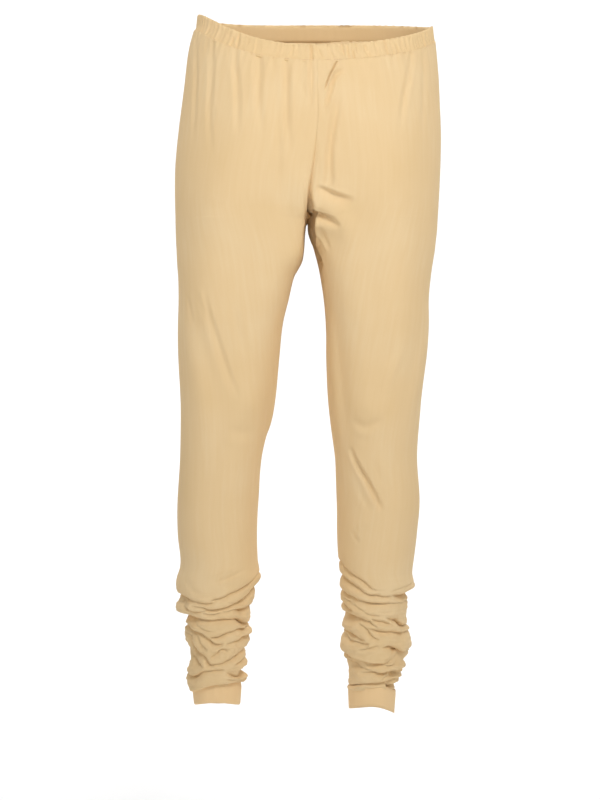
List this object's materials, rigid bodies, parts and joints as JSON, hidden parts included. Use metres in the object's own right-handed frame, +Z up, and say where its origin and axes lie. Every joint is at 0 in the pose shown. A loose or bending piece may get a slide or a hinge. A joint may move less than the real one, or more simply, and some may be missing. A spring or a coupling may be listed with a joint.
{
  "type": "leggings",
  "caption": "Full-length knitted leggings in worn form: elastic waistband, two seamed leg panels, and extra length gathered into folds above narrow ankle hems.",
  "frame": {"origin": "middle of the waist opening, level with the middle of the waistband at the sides, where the wearer's waist holds the garment", "axes": "+Z up, along the body towards the waist; the front faces -Y; +X is the wearer's left"},
  "size_m": [0.3678, 0.2487, 0.968],
  "materials": {
    "leg_knit": "soft matt cotton and elastane jersey, faint fine ribs",
    "waistband_knit": "the same jersey, gathered on elastic and topstitched",
    "hem_knit": "the same jersey, turned up and stitched"
  },
  "bodies": {
    "root": {"waistband": "waistband_knit", "leg_panel_right": "leg_knit", "leg_panel_left": "leg_knit", "ankle_hem_right": "hem_knit", "ankle_hem_left": "hem_knit"}
  },
  "joints": []
}
